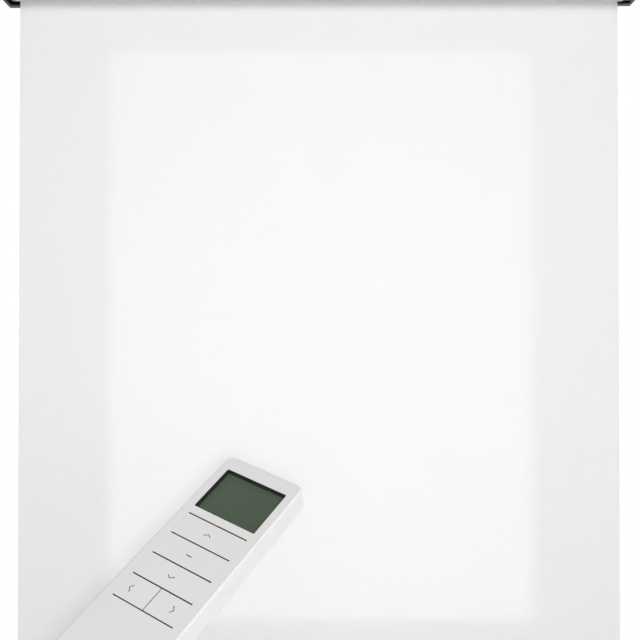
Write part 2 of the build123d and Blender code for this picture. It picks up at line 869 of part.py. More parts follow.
def remote_back_cover():
    """Lower shell with the opening for its sliding door and the sunk screws."""
    shell = remote_form() & slab(remote_outline(-1), -remote_thick - 1, -parting - snug)
    shell -= slab(remote_outline(remote_wall), -remote_thick + remote_wall, 1)
    shell -= slab(door_outline(door_fit), -remote_thick - 1, -remote_thick + remote_wall)
    for x, y in post_places():
        boss = Pos(x, y) * Circle(post_r)
        shell += slab(boss, -remote_thick + remote_wall / 2, -parting - 1 - snug)
        sunk = Pos(x, y) * Circle(screw_head_r + snug)
        shell -= slab(sunk, -remote_thick - 1, -remote_thick + screw_head + screw_sunk)
        shell -= slab(Pos(x, y) * Circle(screw_r + snug), -remote_thick, -parting)
    return shell


def battery_door():
    """Door over the coin cell, with grip grooves across its lower half."""
    inner = -remote_thick + remote_wall - snug
    door = remote_form() & slab(door_outline(), -remote_thick - 1, inner)
    for number in range(door_grooves):
        y = remote_end + groove_from + groove_pitch * number
        groove = Pos(0, y) * SlotOverall(door_wide / 2, groove_wide)
        door -= slab(groove, -remote_thick - 1, -remote_thick + groove_deep)
    return door


def remote_screws():
    """Four screws driven from the back."""
    low = -remote_thick + screw_sunk
    cross = Rectangle(screw_head_r * 1.5, cross_wide)
    cross += Rectangle(cross_wide, screw_head_r * 1.5)
    screw = slab(Circle(screw_head_r), low, low + screw_head)
    screw -= slab(cross, low, low + cross_deep)
    screw += slab(Circle(screw_r), low + screw_head, -face_thick - screw_tip)
    return [Pos(x, y) * screw for x, y in post_places()]


def display_frame():
    """Black frame that lines the display's opening, with a flange behind the face."""
    inner = display_outline(-snug - frame_wall)
    lining = slab(display_outline(-snug) - inner, -display_deep + snug, -frame_below)
    flange = display_outline(frame_lip) - inner
    return lining + slab(flange, -display_deep + snug, -face_thick - snug)


def display_window():
    """Clear plate inside the frame."""
    pane = display_outline(-frame_wall - 2 * snug)
    return slab(pane, -window_deep - window_thick, -window_deep)


def display_panel():
    """Display glass under the frame."""
    return slab(display_outline(frame_lip), -display_deep - panel_thick, -display_deep)


def key_places():
    """Name, left edge, right edge and row of each key."""
    left = -key_block / 2
    split = key_split / 2
    return {
        "key_up": (left, -left, 0),
        "key_stop": (left, -left, 1),
        "key_down": (left, -left, 2),
        "key_left": (left, -split, 3),
        "key_right": (split, -left, 3),
    }


def remote_key(left, right, row):
    """Flush key: cap, lips that hold it behind the face, and the stem over its dome."""
    top = keys_top - row * key_pitch - key_line / 2
    low = top - key_pitch + key_line
    cap = Pos((left + right) / 2, (top + low) / 2) * Rectangle(right - left, top - low)
    key = slab(cap, key_under - key_lip, 0)
    along_lines = key.faces().sort_by(Axis.Z)[-1].edges().filter_by(Axis.X)
    key = chamfer(along_lines, key_edge)
    for side, edge in ((-1, left), (1, right)):
        if abs(edge) > key_split:
            lip = Rectangle(key_lip, (top - low) / 2)
            lip = Pos(edge + side * key_lip / 2, (top + low) / 2) * lip
            key += slab(lip, key_under - key_lip, key_under)
    stem = Pos((left + right) / 2, (top + low) / 2) * Rectangle(key_stem, key_stem)
    return key + slab(stem, key_foot, key_under - key_lip)


def key_mat():
    """Soft mat with one dome under each key and ribs that close the open lines."""
    tall = key_rows * key_pitch + 2 * mat_margin
    middle = (keys_top + keys_end) / 2
    outline = Pos(0, middle) * Rectangle(key_block + 2 * mat_margin, tall)
    mat = slab(outline, board_top + snug, mat_top)
    for left, right, row in key_places().values():
        dome = Pos((left + right) / 2, keys_top - (row + 0.5) * key_pitch) * Circle(dome_r)
        mat += slab(dome, mat_top, mat_top + dome_high)
    rib = Rectangle(key_block - 2 * rib_end, key_line - 2 * rib_gap)
    for number in range(key_rows + 1):
        mat += slab(Pos(0, keys_top - number * key_pitch) * rib, mat_top, -rib_sunk)
    split_rib = Rectangle(key_split - 2 * rib_gap, key_pitch)
    mat += slab(Pos(0, keys_end + key_pitch / 2) * split_rib, mat_top, -rib_sunk)
    return mat


def remote_board():
    """Circuit board from the upper posts down to the coin cell."""
    top = remote_top - remote_wall - 2 * (post_r + post_gap)
    low = keys_end - mat_margin - board_gap
    wide = remote_wide - 2 * (remote_wall + board_gap)
    outline = Pos(0, (top + low) / 2) * Rectangle(wide, top - low)
    return slab(outline, board_low, board_top)


def coin_middle():
    return Pos(0, remote_end + coin_at)


def coin_cell():
    cell = slab(coin_middle() * Circle(coin_r), coin_low, coin_low + coin_thick)
    return chamfer(cell.faces().sort_by(Axis.Z)[-1].edges(), coin_bevel)


def coin_contact():
    """Spring tab from the board down onto the coin cell."""
    coin_y = remote_end + coin_at
    board_y = keys_end + contact_on
    strip = Pos(0, (coin_y + board_y) / 2) * Rectangle(contact_wide, board_y - coin_y)
    foot = Pos(0, coin_y + contact_wide / 2) * Rectangle(contact_wide, contact_wide)
    top = board_low - snug
    return slab(strip, top - contact_thick, top) + slab(foot, coin_low + coin_thick + snug, top)


def in_place(shape):
    """Moves a piece of the transmitter from its own frame into the blind's."""
    place = Pos(*remote_at) * Rot(*remote_turn)
    if isinstance(shape, list):
        return [place * piece for piece in shape]
    return place * shape


def nodes():
    """Every sub-part by its node name."""
    parts = {
        "bracket_idle": bracket_idle(),
        "bracket_motor": bracket_motor(),
        "cover_idle": cover_idle(),
        "cover_motor": cover_motor(),
        "idle_bearing": idle_bearing(),
        "idle_pin": idle_pin(),
        "idle_spring": idle_spring(),
        "idle_plug": idle_plug(),
        "idle_collar": idle_collar(),
        "roller_tube": roller_tube(),
        "tube_spline": tube_spline(),
        "fabric_roll": fabric_roll(),
        "fabric_panel": fabric_panel(),
        "crown_ring": crown_ring(),
        "motor_head": motor_head(),
        "charge_socket": charge_socket(),
        "setting_button": setting_button(),
        "status_lens": status_lens(),
        "retaining_clip": retaining_clip(),
        "motor_casing": motor_casing(),
        "end_bearing": end_bearing(),
        "sun_gear": sun_gear(),
        "ring_gear": ring_gear(),
        "output_carrier": output_carrier(),
        "drive_wheel": drive_wheel(),
        "drive_clip": drive_clip(),
        "gearmotor": gearmotor(),
        "inner_cradle": inner_cradle(),
        "battery_cells": battery_cells(),
        "motor_board": motor_board(),
        "bottom_rail": bottom_rail(),
        "rail_spline": rail_spline(),
        "rail_hem": rail_hem(),
        "rail_cap_left": rail_cap_left(),
        "rail_cap_right": rail_cap_right(),
        "remote_front_cover": in_place(remote_front_cover()),
        "remote_back_cover": in_place(remote_back_cover()),
        "battery_door": in_place(battery_door()),
        "remote_screws": in_place(remote_screws()),
        "display_frame": in_place(display_frame()),
        "display_window": in_place(display_window()),
        "display_panel": in_place(display_panel()),
        "key_mat": in_place(key_mat()),
        "remote_board": in_place(remote_board()),
        "coin_cell": in_place(coin_cell()),
        "coin_contact": in_place(coin_contact()),
    }
    for number in range(planets):
        parts[f"planet_gear_{number + 1}"] = planet_gear(number)
    for name, place in key_places().items():
        parts[name] = in_place(remote_key(*place))
    return parts


os.makedirs("parts", exist_ok=True)
for name, shape in nodes().items():
    solids = shape if isinstance(shape, list) else shape.solids()
    export_step(Compound(label=name, children=list(solids)), f"parts/{name}.step")
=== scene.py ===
import json
from math import cos, pi, radians, sin, tau

import bpy
from mathutils import Matrix, Vector


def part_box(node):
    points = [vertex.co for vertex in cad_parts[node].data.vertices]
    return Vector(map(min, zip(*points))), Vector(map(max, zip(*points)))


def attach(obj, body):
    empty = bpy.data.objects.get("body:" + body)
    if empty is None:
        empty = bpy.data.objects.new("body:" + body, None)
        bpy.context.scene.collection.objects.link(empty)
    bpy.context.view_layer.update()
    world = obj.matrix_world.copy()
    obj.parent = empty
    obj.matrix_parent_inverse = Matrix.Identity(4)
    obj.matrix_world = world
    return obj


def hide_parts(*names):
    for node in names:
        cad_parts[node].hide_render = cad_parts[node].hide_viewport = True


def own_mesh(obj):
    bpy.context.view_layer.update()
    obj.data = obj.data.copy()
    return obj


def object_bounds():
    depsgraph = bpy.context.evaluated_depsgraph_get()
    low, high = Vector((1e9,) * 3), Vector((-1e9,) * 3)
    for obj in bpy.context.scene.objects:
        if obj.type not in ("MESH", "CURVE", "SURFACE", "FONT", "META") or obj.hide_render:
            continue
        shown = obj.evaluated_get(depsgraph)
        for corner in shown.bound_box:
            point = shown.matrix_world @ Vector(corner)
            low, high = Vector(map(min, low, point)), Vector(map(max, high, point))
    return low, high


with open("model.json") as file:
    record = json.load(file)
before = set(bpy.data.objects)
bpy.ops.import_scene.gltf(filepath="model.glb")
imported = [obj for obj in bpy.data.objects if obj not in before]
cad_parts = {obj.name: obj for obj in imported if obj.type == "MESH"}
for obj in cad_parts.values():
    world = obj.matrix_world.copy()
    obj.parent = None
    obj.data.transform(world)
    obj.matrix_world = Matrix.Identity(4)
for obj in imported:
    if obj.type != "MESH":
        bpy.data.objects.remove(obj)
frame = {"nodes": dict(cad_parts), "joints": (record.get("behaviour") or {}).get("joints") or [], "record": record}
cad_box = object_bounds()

# Dressing of the motorized roller blind: cloth, printed symbols and finishes round the fixed frame.
# Everything is in metres. X runs along the roller, Y goes into the wall and Z is up.

MM = 0.001

# Camera: the photo is 640 by 640, and the whole blind is seen a little from below
CAMERA_AT = (0.0, -1.142, -0.433)
CAMERA_LENS_MM = 50.0
CAMERA_SENSOR_MM = 36.0
CAMERA_PITCH_DEG = 0.68

# Cloth
CLOTH_THICK = 0.45 * MM
CLOTH_TURNS = 2.25         # from the wall side, over the top, down to the tube's channel
ROLL_STEPS = 160           # round the roll
ROLL_ACROSS = 24
PANEL_DOWN = 128           # along the hanging cloth
PANEL_ACROSS = 112
SEAT_LENGTH = 45 * MM      # where the cloth swings from the roll's face to the rail's slot
CUP_DEPTH = 0.9 * MM       # side edges curl towards the room
CUP_WIDTH = 22 * MM
WAVE_DEPTH = 0.35 * MM     # slow unevenness of the hanging cloth
WIDE_WAVES = 3.1           # slow waves from side to side, with their start and their slant down the cloth
WIDE_WAVE_START = 0.8
WIDE_WAVE_SLANT = 0.9
FINE_WAVES = 5.3           # closer waves over them, slanting the other way
FINE_WAVE_SLANT = 2.2
FINE_WAVE_SHARE = 0.6
LAYER_SLIP = 0.45 * MM     # turns that don't lie edge on edge
SLIPS_A_TURN = 2.3         # times that the edge moves in and out on each turn
SMOOTH_ANGLE_DEG = 35

# Symbols printed on the keys
STROKE = 0.48 * MM
SYMBOL_HALF = 1.7 * MM
SYMBOL_RISE = 1.35 * MM
DASH_LONG = 3.0 * MM
INK_THICK = 0.03 * MM

# Where the printed symbols sit from the middle of their keys: right, towards the top
UP_SHIFT = (-0.3 * MM, 0.0)
STOP_SHIFT = (-0.5 * MM, -0.4 * MM)
DOWN_SHIFT = (-0.7 * MM, -0.3 * MM)
LEFT_SHIFT = (-3.5 * MM, -0.1 * MM)
RIGHT_SHIFT = (2.5 * MM, 0.1 * MM)

# Finishes: how strongly a grain shows, and the range that most of a random pattern keeps to
GRAIN_STRENGTH = 0.35
PATTERN_LOW = 0.3
PATTERN_HIGH = 0.7

# Studio: pale floor and wall, and the room's light by height
FLOOR_BELOW = 45 * MM      # floor under the bottom rail
FLOOR_SIZE = (3.4, 2.2)    # its far edge stays below the camera's picture
FLOOR_MIDDLE_Y = -0.82
ROOM_LIGHT = 0.49          # at the level of the eye
ROOM_LIGHT_RISE = -0.169   # added straight up: less light from above, more from below
PAPER_FULL = 0.90          # white paper behind the blind: cosine of the angle that it fills
PAPER_END = 0.80           # and where the grey wall begins
WALL_TONE = 0.70           # grey wall against the white paper

# Lights: a box of strips behind the cloth, one soft light from the front, one from the right, behind
# the transmitter's face, and a small light at the lens. The last lights the hanging cloth alone and
# draws the transmitter's soft shadow on it.
BACK_BOX_SIZE = (0.536, 0.721)
BACK_BOX_MIDDLE = (0.001, -0.4385)
BACK_BOX_Y = 0.018
BACK_BOX_SPREAD_DEG = 50.0
BACK_BOX_STRIPS = 8
BACK_BOX_W = 0.27
BACK_BOX_LOW_W = 0.095     # shared out towards its lower end
SIDE_LIGHT_AT = (1.9, -0.15, -0.85)
SIDE_LIGHT_TOWARDS = (-0.18, -0.84, -0.72)
SIDE_LIGHT_SIZE = (0.6, 0.6)
SIDE_LIGHT_SPREAD_DEG = 30
SIDE_LIGHT_W = 0.78
FRONT_LIGHT_AT = (0.35, -3.0, 0.2)
FRONT_LIGHT_TOWARDS = (0.0, 0.0, -0.4)
FRONT_LIGHT_SIZE = (1.2, 1.4)
FRONT_LIGHT_W = 46.0
LENS_LIGHT_W = 3.2
LENS_LIGHT_SIZE = 20 * MM
LENS_LIGHT_SHIFT = (4 * MM, -4 * MM)   # right of the lens and below it


def rest_objects():
    """Nothing is selected, so that an operator acts on the new piece alone."""
    if bpy.context.object and bpy.context.object.mode != "OBJECT":
        bpy.ops.object.mode_set(mode="OBJECT")
    bpy.ops.object.select_all(action="DESELECT")


def srgb(code):
    """Linear colour of an sRGB hex value."""
    parts = [int(code[i:i + 2], 16) / 255 for i in (1, 3, 5)]
    return tuple(c / 12.92 if c <= 0.04045 else ((c + 0.055) / 1.055) ** 2.4 for c in parts) + (1.0,)


def add(tree, kind, inputs=None, **settings):
    """Adds one shader node with its settings. An input is a value or the socket that feeds it."""
    made = tree.nodes.new("ShaderNode" + kind)
    for name, value in settings.items():
        setattr(made, name, value)
    for name, value in (inputs or {}).items():
        if isinstance(value, bpy.types.NodeSocket):
            tree.links.new(value, made.inputs[name])
        else:
            made.inputs[name].default_value = value
    return made


def new_material(name):
    """Empty material and its node tree."""
    material = bpy.data.materials.new(name)
    material.use_nodes = True
    material.node_tree.nodes.clear()
    return material, material.node_tree


def blotches(tree, place, size_mm, detail=3.0, stretch=(1, 1, 1)):
    """Soft random pattern with features of about that size, in millimetres, stretched by axis."""
    scale = tuple(1 / (size_mm * MM * s) for s in stretch)
    mapped = add(tree, "Mapping", {"Vector": place, "Scale": scale})
    noise = add(tree, "TexNoise", {"Vector": mapped.outputs[0], "Scale": 1.0, "Detail": detail})
    return noise.outputs["Fac"]


def between(tree, pattern, low, high):
    """Pattern brought between two values."""
    spread = {
        "Value": pattern, "From Min": PATTERN_LOW, "From Max": PATTERN_HIGH, "To Min": low, "To Max": high,
    }
    return add(tree, "MapRange", spread).outputs["Result"]


def two_tone(tree, pattern, first, second):
    """Colour that goes from one to the other with the pattern."""
    mix = add(tree, "Mix", data_type="RGBA")
    tree.links.new(between(tree, pattern, 0.0, 1.0), mix.inputs[0])
    mix.inputs[6].default_value = srgb(first)
    mix.inputs[7].default_value = srgb(second)
    return mix.outputs[2]


def finish_material(
    name, colours, rough, tone_mm=40, grain_mm=0.6, grain_depth_mm=0.02, stretch=(1, 1, 1), **surface
):
    """Solid finish: two close colours in slow patches, and a grain that moves roughness and height."""
    material, tree = new_material(name)
    place = add(tree, "TexCoord").outputs["Object"]
    tone = blotches(tree, place, tone_mm, stretch=stretch)
    grain = blotches(tree, place, grain_mm, 4.0, stretch)
    height = {"Height": grain, "Strength": GRAIN_STRENGTH, "Distance": grain_depth_mm * MM}
    bump = add(tree, "Bump", height)
    shader = add(tree, "BsdfPrincipled", {
        "Base Color": two_tone(tree, tone, *colours),
        "Roughness": between(tree, grain, *rough),
        "Normal": bump.outputs[0],
        **surface,
    })
    tree.links.new(shader.outputs[0], add(tree, "OutputMaterial").inputs["Surface"])
    return material


def powder_coated_steel():
    # Steel sheet, zinc plated and black powder coated: satin, with the slight orange peel of the coat
    return finish_material(
        "powder_coated_steel", ("#17181a", "#1d1e20"), (0.38, 0.5), 60, 1.4, 0.03, IOR=1.5
    )


def moulded_black_abs():
    # ABS moulded in a spark-eroded tool: dark grey with a fine grain that spreads its highlights
    return finish_material(
        "moulded_black_abs", ("#4c4d4f", "#545557"), (0.3, 0.4), 50, 0.5, 0.02, IOR=1.54
    )


def smooth_black_nylon():
    # Glass-filled nylon: black, smooth from the tool, faint grey flow marks
    return finish_material(
        "smooth_black_nylon", ("#101012", "#1b1b1d"), (0.3, 0.42), 12, 0.8, 0.01, IOR=1.53
    )


def moulded_grey_nylon():
    # Glass-filled nylon in dark grey: matt, faint flow marks along the moulding
    return finish_material(
        "moulded_grey_nylon", ("#47484a", "#525355"), (0.42, 0.55), 15, 0.5, 0.02, IOR=1.53
    )


def ground_steel():
    # Steel wire and bar, ground and oiled: bright, with fine marks round the bar
    return finish_material(
        "ground_steel", ("#b9babc", "#cfd0d2"), (0.2, 0.34), 8, 0.25, 0.006, (0.15, 1, 1), Metallic=1.0
    )


def polished_chrome():
    # Chrome plate on a polished ring: mirror bright with the slightest haze
    return finish_material(
        "polished_chrome", ("#dcdde0", "#e8e9ec"), (0.05, 0.1), 10, 1.0, 0.002, Metallic=1.0
    )


def extruded_aluminium():
    # Aluminium extrusion, mill finish: long die lines along the profile
    return finish_material(
        "extruded_aluminium", ("#c3c4c7", "#d6d7da"), (0.3, 0.45), 6, 0.5, 0.01, (40, 1, 1), Metallic=1.0
    )


def powder_coated_white():
    # Aluminium extrusion with white powder coat: satin and even, slight orange peel
    return finish_material(
        "powder_coated_white", ("#eeeeec", "#f3f3f1"), (0.36, 0.46), 70, 1.5, 0.03, IOR=1.5
    )


def moulded_white_abs():
    # White ABS: half gloss, a little warmer than the coated rail
    return finish_material(
        "moulded_white_abs", ("#ececea", "#f2f2ef"), (0.28, 0.38), 30, 0.6, 0.01, IOR=1.54
    )


def natural_acetal():
    # Acetal, moulded in its natural milky white: waxy, smooth, slightly lit from inside
    return finish_material(
        "natural_acetal", ("#e3e0d8", "#ece9e1"), (0.3, 0.4), 10, 0.5, 0.01,
        IOR=1.48, **{"Subsurface Weight": 0.15, "Subsurface Scale": 0.002},
    )


def sintered_steel():
    # Sintered steel: grey metal with fine pores
    return finish_material(
        "sintered_steel", ("#7d7d80", "#96969a"), (0.4, 0.55), 3, 0.2, 0.02, Metallic=1.0
    )


def solder_masked_board():
    # Glass-epoxy board under green solder mask: glossy with the weave just showing
    return finish_material(
        "solder_masked_board", ("#145c36", "#1b6b40"), (0.22, 0.32), 4, 0.6, 0.01, IOR=1.55
    )


def shrink_sleeve_blue():
    # PVC shrink sleeve on the cells: glossy blue, with soft wrinkles along the cell
    return finish_material(
        "shrink_sleeve_blue", ("#2f5f9f", "#3a6cae"), (0.2, 0.3), 14, 3.0, 0.05, (3, 1, 1), IOR=1.54
    )


def nickel_plated_steel():
    # Nickel plate on drawn steel: bright and slightly warm, fine drawing marks
    return finish_material(
        "nickel_plated_steel", ("#c9c7c2", "#d8d6d1"), (0.16, 0.28), 8, 0.4, 0.005, (6, 1, 1), Metallic=1.0
    )


def spring_brass():
    # Plated brass strip: yellow metal, rolled
    return finish_material(
        "spring_brass", ("#c9a251", "#d6b263"), (0.22, 0.34), 5, 0.3, 0.006, Metallic=1.0
    )


def silicone_painted_gap_shade():
    # Silicone mat, matt, coloured near black as painted shade: the colour stands in for the shade in the open
    # lines between the keys, so that they look black
    return finish_material(
        "silicone_painted_gap_shade", ("#151516", "#1b1b1c"), (0.6, 0.72), 8, 0.4, 0.02, IOR=1.43
    )


def moulded_white_pc():
    # White polycarbonate blend of the transmitter: satin, with a fine spark-eroded grain
    return finish_material(
        "moulded_white_pc", ("#dfdfde", "#e2e2e1"), (0.6, 0.7), 60, 0.45, 0.012, IOR=1.5
    )


def printed_grey_ink():
    # Pad-printed ink: dark grey, matt, thin
    return finish_material(
        "printed_grey_ink", ("#363736", "#403f3f"), (0.5, 0.65), 3, 0.3, 0.004, IOR=1.5
    )


def display_glass():
    # Unlit liquid crystal display: dark green grey under a polished front polariser
    return finish_material(
        "display_glass", ("#54644f", "#5b6c56"), (0.12, 0.16), 45, 6.0, 0.0002, IOR=1.5
    )


def clear_acrylic():
    # Clear acrylic pane: lets nearly all light through. Its faces mirror 4% of what meets them
    # straight on, and all of it at a glancing angle.
    straight_on = 0.04
    steepness = 5.0
    material, tree = new_material("clear_acrylic")
    place = add(tree, "TexCoord").outputs["Object"]
    haze = between(tree, blotches(tree, place, 20), 0.03, 0.07)
    clear = add(tree, "BsdfTransparent", {"Color": srgb("#f4f6f4")})
    mirror = add(tree, "BsdfGlossy", {"Color": srgb("#ffffff"), "Roughness": haze})
    slant = add(tree, "LayerWeight", {"Blend": 0.5}).outputs["Facing"]
    steep = add(tree, "Math", {0: slant, 1: steepness}, operation="POWER").outputs[0]
    share = {0: steep, 1: 1 - straight_on, 2: straight_on}
    mirrored = add(tree, "Math", share, operation="MULTIPLY_ADD").outputs[0]
    mix = add(tree, "MixShader", {0: mirrored, 1: clear.outputs[0], 2: mirror.outputs[0]})
    tree.links.new(mix.outputs[0], add(tree, "OutputMaterial").inputs["Surface"])
    return material


def woven_polyester():
    # Plain-woven polyester, white and translucent. Threads of 0.5 mm show close up, and the slight
    # thick and thin places of the yarn show as faint streaks along and across the cloth.
    thread_mm = 0.5
    slub_mm = 1.6
    slub_long = 45
    translucent_share = 0.45
    material, tree = new_material("woven_polyester")
    flat = add(tree, "TexCoord").outputs["UV"]
    split = add(tree, "SeparateXYZ", {"Vector": flat})
    waves = []
    for axis in ("X", "Y"):
        count = {0: split.outputs[axis], 1: pi / (thread_mm * MM)}
        threads = add(tree, "Math", count, operation="MULTIPLY").outputs[0]
        waves.append(add(tree, "Math", {0: threads}, operation="SINE").outputs[0])
    crossing = add(tree, "Math", {0: waves[0], 1: waves[1]}, operation="MULTIPLY").outputs[0]
    slub_down = blotches(tree, flat, slub_mm, 2.0, (1, slub_long, 1))
    slub_across = blotches(tree, flat, slub_mm, 2.0, (slub_long, 1, 1))
    slubs = add(tree, "Math", {0: slub_down, 1: slub_across}, operation="ADD").outputs[0]
    uneven = add(tree, "Math", {0: slubs, 1: 0.5}, operation="MULTIPLY").outputs[0]
    height = add(tree, "Math", {0: crossing, 1: uneven}, operation="ADD").outputs[0]
    bump = add(tree, "Bump", {"Height": height, "Strength": 0.25, "Distance": 0.06 * MM}).outputs[0]
    colour = two_tone(tree, uneven, "#f7f7f7", "#fbfbfb")
    front = add(tree, "BsdfPrincipled", {
        "Base Color": colour, "Roughness": 0.85, "IOR": 1.45, "Specular IOR Level": 0.25,
        "Sheen Weight": 0.08, "Sheen Roughness": 0.6, "Normal": bump,
    })
    through = add(tree, "BsdfTranslucent", {"Color": colour, "Normal": bump})
    mix = add(tree, "MixShader", {0: translucent_share, 1: front.outputs[0], 2: through.outputs[0]})
    tree.links.new(mix.outputs[0], add(tree, "OutputMaterial").inputs["Surface"])
    return material


FINISHES = {
    "bracket_steel": powder_coated_steel(),
    "cover_black": moulded_black_abs(),
    "bearing_black": smooth_black_nylon(),
    "grey_plastic": moulded_grey_nylon(),
    "pin_steel": ground_steel(),
    "bright_chrome": polished_chrome(),
    "tube_aluminium": extruded_aluminium(),
    "rail_white": powder_coated_white(),
    "cloth_white": woven_polyester(),
    "white_plastic": moulded_white_abs(),
    "nylon_white": natural_acetal(),
    "gear_steel": sintered_steel(),
    "board_green": solder_masked_board(),
    "cell_blue": shrink_sleeve_blue(),
    "coin_steel": nickel_plated_steel(),
    "contact_brass": spring_brass(),
    "clear_plastic": clear_acrylic(),
    "display_grey": display_glass(),
    "remote_white": moulded_white_pc(),
    # the key mat's near-black colour is painted shade for the open lines between the keys
    "mat_rubber": silicone_painted_gap_shade(),
}
INK = printed_grey_ink()


def give_material(piece, material):
    """The piece has this material alone."""
    piece.data.materials.clear()
    piece.data.materials.append(material)


def finish_nodes():
    """Every node of the frame gets the material of its slot in the record."""
    for part in frame["record"]["subparts"]:
        piece = frame["nodes"][part["node"]]
        for slot in piece.material_slots:
            slot.link = "OBJECT"
            slot.material = FINISHES[part["material_slot"]]


def settle(piece, body, material):
    """The finished piece keeps its place in its mesh, takes its finish and rides on its body."""
    rest_objects()
    piece.select_set(True)
    bpy.context.view_layer.objects.active = piece
    bpy.ops.object.transform_apply(location=True, rotation=True, scale=True)
    give_material(piece, material)
    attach(piece, body)
    piece.select_set(False)


def apply_modifier(piece, kind, **settings):
    """Adds one modifier with its settings and applies it."""
    modifier = piece.modifiers.new(kind.title(), kind)
    for name, value in settings.items():
        setattr(modifier, name, value)
    bpy.context.view_layer.objects.active = piece
    bpy.ops.object.modifier_apply(modifier=modifier.name)


def sheet_of_cloth(name, across, down, place, flat):
    """Grid of cloth. From (u, v) in 0..1, place gives a point and flat its spot on the uncut cloth."""
    rest_objects()
    bpy.ops.mesh.primitive_grid_add(x_subdivisions=across, y_subdivisions=down, size=1.0)
    piece = bpy.context.object
    piece.name = name
    mesh = piece.data
    spots = [(v.co.x + 0.5, v.co.y + 0.5) for v in mesh.vertices]
    for vertex, (u, v) in zip(mesh.vertices, spots):
        vertex.co = place(u, v)
    threads = mesh.uv_layers.active or mesh.uv_layers.new(name="threads")
    for loop in mesh.loops:
        threads.data[loop.index].uv = flat(*spots[loop.vertex_index])
    apply_modifier(piece, "SOLIDIFY", thickness=CLOTH_THICK, offset=0.0, use_even_offset=True)
    rest_objects()
    piece.select_set(True)
    bpy.context.view_layer.objects.active = piece
    bpy.ops.object.mode_set(mode="EDIT")
    bpy.ops.mesh.select_all(action="SELECT")
    bpy.ops.mesh.normals_make_consistent(inside=False)
    bpy.ops.object.mode_set(mode="OBJECT")
    bpy.ops.object.shade_smooth_by_angle(angle=radians(SMOOTH_ANGLE_DEG))
    return piece


roll_low, roll_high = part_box("fabric_roll")
panel_low, panel_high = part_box("fabric_panel")
axis_y, axis_z = (roll_low.y + roll_high.y) / 2, (roll_low.z + roll_high.z) / 2
roll_r = (roll_high.z - roll_low.z) / 2
outer_r = roll_r - CLOTH_THICK / 2
cloth_wide = panel_high.x - panel_low.x
cloth_drop = panel_high.z - panel_low.z
roll_long = tau * CLOTH_TURNS * (outer_r - CLOTH_THICK * CLOTH_TURNS / 2)


def roll_place(u, v):
    """Spiral from the wall side of the roll, over the top, inwards to the tube."""
    angle = v * CLOTH_TURNS * tau
    radius = outer_r - CLOTH_THICK * v * CLOTH_TURNS
    slip = LAYER_SLIP * (0.5 - 0.5 * cos(SLIPS_A_TURN * angle)) * min(1.0, v * CLOTH_TURNS)
    x = panel_low.x + slip + u * (cloth_wide - 2 * slip)
    return x, axis_y + radius * cos(angle), axis_z + radius * sin(angle)


def roll_flat(u, v):
    """Spot on the uncut cloth, above the part that hangs."""
    return u * cloth_wide, -v * roll_long


def panel_place(u, v):
    """Hanging cloth, from the roll's wall side down to the slot in the rail."""
    down = v * cloth_drop
    start_y = axis_y + outer_r
    end_y = (panel_low.y + panel_high.y) / 2
    swing = min(1.0, down / SEAT_LENGTH)
    y = start_y + (end_y - start_y) * swing * swing * (3 - 2 * swing)
    free = sin(pi * v) ** 0.5 if 0 < v < 1 else 0.0
    edge = min(u, 1 - u) * cloth_wide / CUP_WIDTH
    cup = CUP_DEPTH * max(0.0, 1 - edge) ** 2
    wide = sin(WIDE_WAVES * tau * u + WIDE_WAVE_START + WIDE_WAVE_SLANT * v)
    fine = FINE_WAVE_SHARE * sin(FINE_WAVES * tau * u - FINE_WAVE_SLANT * v)
    y -= free * (cup + WAVE_DEPTH * (wide + fine))
    return panel_low.x + u * cloth_wide, y, panel_high.z - down


def panel_flat(u, v):
    """Spot on the uncut cloth, from the roll down."""
    return u * cloth_wide, v * cloth_drop


def dress_cloth():
    """The cloth in two sheets, in place of the frame's plain roll and panel."""
    cloth = FINISHES["cloth_white"]
    roll = sheet_of_cloth("cloth_roll", ROLL_ACROSS, ROLL_STEPS, roll_place, roll_flat)
    settle(roll, "roller", cloth)
    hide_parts("fabric_roll")
    panel = sheet_of_cloth("cloth_hanging", PANEL_ACROSS, PANEL_DOWN, panel_place, panel_flat)
    settle(panel, "mounting", cloth)
    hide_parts("fabric_panel")
    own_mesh(panel)


def joint_axis(name):
    """Direction in which that joint moves its body."""
    axis = next(joint["axis"] for joint in frame["joints"] if joint["name"] == name)
    return Vector(axis).normalized()


# The transmitter's own directions, from the travel of a key and of the door
face_out = -joint_axis("up_press")
face_up = -joint_axis("door_slide")
face_right = face_up.cross(face_out).normalized()


def key_face(node, shift=(0, 0)):
    """Frame on a key's face, off its middle by shift: X to its right, Y to the top and Z outwards."""
    points = [v.co for v in frame["nodes"][node].data.vertices]
    spans = []
    for direction in (face_right, face_up, face_out):
        reach = [p.dot(direction) for p in points]
        spans.append((min(reach), max(reach)))
    across = [(low + high) / 2 + move for (low, high), move in zip(spans, shift)] + [spans[2][1]]
    centre = face_right * across[0] + face_up * across[1] + face_out * across[2]
    turned = Matrix((face_right, face_up, face_out)).transposed().to_4x4()
    return Matrix.Translation(centre) @ turned


CHEVRON = ((SYMBOL_HALF, SYMBOL_RISE), (SYMBOL_HALF, -SYMBOL_RISE))


